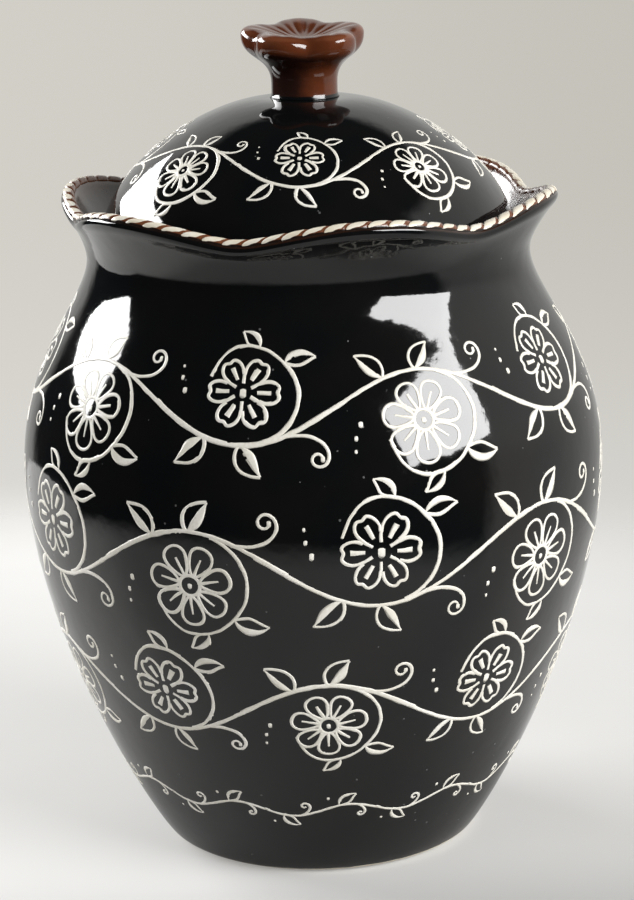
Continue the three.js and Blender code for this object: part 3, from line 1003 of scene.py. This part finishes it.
def bending_line(start, heading, length, bend, curl=0.0):
    """Points of a line that leaves on a heading in degrees and turns by bend, and more tightly by curl."""
    u, v = start
    points = [start]
    steps = shares(length)
    for before, after in zip(steps, steps[1:]):
        share = (before + after) / 2
        angle = math.radians(heading + bend * share + curl * share ** 3)
        u += (after - before) * length * math.cos(angle)
        v += (after - before) * length * math.sin(angle)
        points.append((u, v))
    return points


def beside(points, gaps):
    """The same line moved to its left, by a gap of its own at each point."""
    moved = []
    for i, (u, v) in enumerate(points):
        before = points[max(i - 1, 0)]
        after = points[min(i + 1, len(points) - 1)]
        run = Vector((after[0] - before[0], after[1] - before[1])).normalized()
        moved.append((u - run.y * gaps[i], v + run.x * gaps[i]))
    return moved


def ray_from(centre, angle, near, far):
    """A straight line out from a centre at an angle in radians."""
    reach = [near + (far - near) * share for share in shares(far - near)]
    return [(centre[0] + r * math.cos(angle), centre[1] + r * math.sin(angle)) for r in reach]


def dot(centre, radius):
    """A touch of the nozzle: a short stroke as wide as it is long."""
    touch = []
    for x in (-0.85, -0.45, 0.0, 0.45, 0.85):
        width = 2 * radius * math.sqrt(1 - 0.8 * x * x)
        touch.append((centre[0] + 0.6 * radius * x, centre[1], width))
    return touch


print("lines are", LINE / MM, "mm wide")

# %% [markdown]
# From those movements come the motifs of a running vine, an ornament as old as painted pots: a leaf with
# one half filled in, a daisy of looped petals, a rosette, a curled tendril. Each is drawn from its centre
# or its stalk, with its size as the only measure, so that the jar and the lid can share them.

# %% Leaf, daisy and rosette
DAISY_PETALS = 7
ROSETTE_PETALS = 6


def leaf(stalk, heading, length, half_width, bend, filled_side):
    """An almond leaf. Its filled half lies to the left of its rib where filled_side is 1."""
    rib = bending_line(stalk, heading, length, bend)
    last = len(rib) - 1
    swell = [half_width * math.sin(math.pi * (i / last) ** 0.85) for i in range(last + 1)]
    edge = beside(rib, [-filled_side * s for s in swell])
    middle = beside(rib, [0.55 * filled_side * s for s in swell])
    filling = [(u, v, max(0.95 * s, 0.5 * LINE)) for (u, v), s in zip(middle, swell)]
    return [stroke(edge, 0.9 * LINE, 0.75 * LINE), filling]


def daisy(centre, radius):
    """Looped petals round a ringed heart, with a vein in each."""
    heart = 0.24 * radius
    half_width = 0.605 * radius * math.sin(math.pi / DAISY_PETALS)
    strokes = []
    for k in range(DAISY_PETALS):
        angle = 2 * math.pi * (k + 0.25) / DAISY_PETALS
        along_petal = Vector((math.cos(angle), math.sin(angle)))
        loop = []
        for share in shares(2.6 * radius):
            out = 0.5 - 0.5 * math.cos(2 * math.pi * share)
            reach = heart + (radius - heart) * out ** 0.9
            aside = half_width * math.sin(2 * math.pi * share) * (0.71 + 0.64 * out)
            point = reach * along_petal + aside * along_petal.orthogonal()
            loop.append((centre[0] + point.x, centre[1] + point.y))
        strokes.append(stroke(loop, 0.85 * LINE, 0.85 * LINE))
        strokes.append(stroke(ray_from(centre, angle, heart, 0.72 * radius), LINE, 0.55 * LINE))
    ring = [2 * math.pi * share for share in shares(2 * math.pi * heart)]
    ring = [(centre[0] + heart * math.cos(a), centre[1] + heart * math.sin(a)) for a in ring]
    return [*strokes, stroke(ring), dot(centre, 0.42 * heart)]


def rosette(centre, radius):
    """Broad notched petals that share their sides, round a full dot."""
    pitch = 2 * math.pi / ROSETTE_PETALS
    heart = 0.22 * radius
    strokes = []
    for k in range(ROSETTE_PETALS):
        angle = pitch * k
        edge = ray_from(centre, angle - pitch / 2, 1.1 * heart, 0.46 * radius)
        for share in shares(2.2 * radius):
            swell = 0.5 + 0.5 * math.sin(math.pi * share) ** 0.55
            notch = 0.09 * math.exp(-((share - 0.5) / 0.11) ** 2)
            side = angle + 0.47 * pitch * (2 * share - 1)
            reach = radius * (swell - notch)
            edge.append((centre[0] + reach * math.cos(side), centre[1] + reach * math.sin(side)))
        strokes.append(stroke(edge, 0.9 * LINE, 0.9 * LINE))
        strokes.append(stroke(ray_from(centre, angle, 0.38 * radius, 0.74 * radius), LINE, 1.4 * LINE))
    return [*strokes, dot(centre, 0.75 * heart)]


print("a daisy takes", len(daisy((0, 0), LINE)), "strokes and a rosette", len(rosette((0, 0), LINE)))

# %% [markdown]
# A running vine repeats by a glide: half a wave with its flower below the stem, then the same half wave
# turned over with its flower above. The branch carries on where the stem curves away and closes round
# the flower. A narrow leafy border, for the foot, repeats in the same way.

# %% Vine and border


def vine_half(span, size, flower):
    """Half a wave of the vine: stem, flower, branch, leaves, tendril and dots."""
    crest = 0.86 * size
    centre = (span / 2, -0.42 * size)

    def on_stem(share):
        return (span * share, crest * math.sin(math.pi * share))

    def on_branch(share):
        angle = math.radians(65 - 222 * share)
        bulge = 0.10 * math.sin(math.pi * min(2.2 * share, 1))
        closing = min(max((share - 0.72) / 0.28, 0), 1)
        reach = size * (1.32 + bulge - 0.10 * share - 0.26 * closing ** 2 * (3 - 2 * closing))
        return (centre[0] + reach * math.cos(angle), centre[1] + reach * math.sin(angle))

    stem = [on_stem(1.04 * share - 0.02) for share in shares(1.15 * span)]
    branch = [on_branch(share) for share in shares(5.2 * size)]
    tendril = bending_line(on_stem(0.74), -8, 2.3 * size, 60, 400)
    trail = [(-1.55, 0.02, 0.10), (-1.68, -0.30, 0.08), (-1.70, -0.60, 0.06)]
    return [
        stroke(stem, 1.15 * LINE, 1.15 * LINE),
        stroke(branch, 1.05 * LINE, 0.8 * LINE),
        stroke(tendril, LINE, 0.75 * LINE),
        dot(tendril[-1], 0.09 * size),
        *flower(centre),
        *leaf(on_stem(0.30), 120, 0.95 * size, 0.24 * size, 34, 1),
        *leaf(on_stem(0.50), 72, 0.88 * size, 0.24 * size, -36, -1),
        *leaf(on_branch(0.46), -38, 0.86 * size, 0.22 * size, 52, -1),
        *leaf(on_branch(0.63), -118, 0.66 * size, 0.19 * size, -40, 1),
        *[dot((centre[0] + du * size, centre[1] + dv * size), r * size) for du, dv, r in trail],
    ]


def border_half(span, size):
    """Half a wave of the narrow border: stem, leaf, curl and dot."""
    def on_stem(share):
        return (span * share, 0.34 * size * math.sin(math.pi * share))

    stem = [on_stem(1.04 * share - 0.02) for share in shares(1.1 * span)]
    curl = bending_line(on_stem(0.64), -30, 1.5 * size, -70, -330)
    return [
        stroke(stem),
        stroke(curl, 0.95 * LINE, 0.75 * LINE),
        *leaf(on_stem(0.32), 74, size, 0.27 * size, -60, 1),
        dot((0.12 * span, 0.75 * size), 0.11 * size),
    ]


def glide(strokes, span):
    """The same strokes moved on by half a wave and turned over."""
    return [[(u + span, -v, width) for u, v, width in line] for line in strokes]


print("half a wave of the border takes", len(border_half(LINE, LINE)), "strokes")

# %% [markdown]
# One wave of strokes becomes beveled curves and then a mesh, still flat. Flat round strings would stand
# up like wire, so their height is pressed down to a tenth of a millimetre, and the hand's wobble is
# added. Then the sheet is laid on the pot. Round the pot a distance becomes a turn. Up the pot the sheet
# is let in or eased out as the wall narrows or widens, so that circles stay circles. Spinning the wave
# with duplicates fills the band. The wobble gets a seed, because noise vectors start from the clock.

# %% Laying lines on a pot
LINE_RELIEF = 0.10 * MM
LINE_SHOULDER = 0.35 * MM
LINE_SUNK = 0.35 * MM
WOBBLE = 0.16 * MM
WOBBLE_SIZE = 3.2 * MM
WOBBLE_SEED = 5
SWELL = 0.22
SWELL_SIZE = 4.5 * MM


def flat_mesh(name, strokes, weight):
    """Strokes on the flat sheet as a mesh of round strings."""
    curve = bpy.data.curves.new(name, "CURVE")
    curve.dimensions = "3D"
    curve.bevel_depth = 1.0
    curve.bevel_resolution = 1
    curve.use_fill_caps = True
    for line in strokes:
        spline = curve.splines.new("POLY")
        spline.points.add(len(line) - 1)
        for point, (u, v, width) in zip(spline.points, line):
            point.co = (u, v, 0, 1)
            point.radius = width / 2 * weight * (1 + SWELL * noise.noise(Vector((u, v, 0)) / SWELL_SIZE))
    return curve_to_mesh(name, curve)


def lengths_along(wall):
    """The distance along a wall's line to each of its points."""
    return np.concatenate([[0], np.cumsum(np.hypot(*np.diff(wall, axis=0).T))])


def lay_band(name, strokes, weight, wall, middle_share, waves, first_turn):
    """Lays one wave on a wall, centred at a share of its length, and repeats it round the axis."""
    piece = flat_mesh(name, strokes, weight)
    points = points_of(piece)
    shake = [noise.noise_vector(Vector(point) / WOBBLE_SIZE) for point in points]
    points[:, :2] += WOBBLE * np.array(shake)[:, :2]
    length = lengths_along(wall)
    normal = np.gradient(wall, length, axis=0) @ np.array([[0, -1], [1, 0]])
    middle = middle_share * length[-1]
    band_radius = np.interp(middle, length, wall[:, 0])
    mean_radius = (wall[1:, 0] + wall[:-1, 0]) / 2
    eased = np.concatenate([[0], np.cumsum(np.diff(length) * band_radius / mean_radius)])
    eased -= np.interp(middle, length, eased)
    up = np.interp(points[:, 1], eased, length)
    lift = np.where(points[:, 2] > 0, LINE_RELIEF * (1 - np.exp(-points[:, 2] / LINE_SHOULDER)), -LINE_SUNK)
    turn = first_turn + points[:, 0] / band_radius
    radius = np.interp(up, length, wall[:, 0]) + lift * np.interp(up, length, normal[:, 0])
    height = np.interp(up, length, wall[:, 1]) + lift * np.interp(up, length, normal[:, 1])
    move_points(piece, turn, radius, height)
    edit_all()
    bpy.ops.mesh.normals_make_consistent(inside=False)
    around = 2 * math.pi * (waves - 1) / waves
    bpy.ops.mesh.spin(steps=waves - 1, angle=around, dupli=True, center=(0, 0, 0), axis=(0, 0, 1))
    close_smooth()
    piece.data.materials.append(line_slip)
    print(name, "has", len(piece.data.polygons), "faces, band radius", round(band_radius / MM, 1), "mm")
    return piece


noise.seed_set(WOBBLE_SEED)
print("lines stand", round(LINE_RELIEF / MM, 2), "mm proud of the wall")

# %% [markdown]
# On the jar three broad vines run round from the shoulder down, with a narrow border above the foot, and
# the neck stays plain. The lid carries one smaller vine. Slip stands proud and catches the light, so it
# is laid on as geometry and not as a texture. Flowers of one band stand over the gaps of the next.

# %% Bands of the jar and the lid
FLOWER_SHARE = 0.228
ROSETTE_SHARE = 0.95
BORDER_SIZE = 7.6 * MM
BORDER_WEIGHT = 0.85
LID_WEIGHT = 0.80
WALL_POINTS = 200


def half_wave(wall, middle_share, waves):
    """The length of half a wave, so that whole waves close round the wall."""
    length = lengths_along(wall)
    return math.pi * float(np.interp(middle_share * length[-1], length, wall[:, 0])) / waves


def vine_band(name, wall, middle_share, waves, first_turn, weight=1.0):
    span = half_wave(wall, middle_share, waves)
    size = FLOWER_SHARE * span
    lower = vine_half(span, size, lambda centre: daisy(centre, size))
    upper = vine_half(span, size, lambda centre: rosette(centre, ROSETTE_SHARE * size))
    return lay_band(name, lower + glide(upper, span), weight, wall, middle_share, waves, first_turn)


def border_band(name, wall, middle_share, waves, first_turn):
    span = half_wave(wall, middle_share, waves)
    half = border_half(span, BORDER_SIZE)
    return lay_band(name, half + glide(half, span), BORDER_WEIGHT, wall, middle_share, waves, first_turn)


jar_wall = np.array(wall_line(WALL_POINTS))
lid_wall = np.array(dome_line(WALL_POINTS))
bands = [
    (vine_band("shoulder_vine", jar_wall, 0.825, waves=5, first_turn=math.radians(4)), "jar"),
    (vine_band("belly_vine", jar_wall, 0.585, waves=5, first_turn=math.radians(30)), "jar"),
    (vine_band("lower_vine", jar_wall, 0.345, waves=5, first_turn=math.radians(56)), "jar"),
    (border_band("foot_border", jar_wall, 0.145, waves=12, first_turn=0.0), "jar"),
    (vine_band("lid_vine", lid_wall, 0.47, waves=4, first_turn=math.radians(20), weight=LID_WEIGHT), "lid"),
]
for band, body in bands:
    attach(band, body)
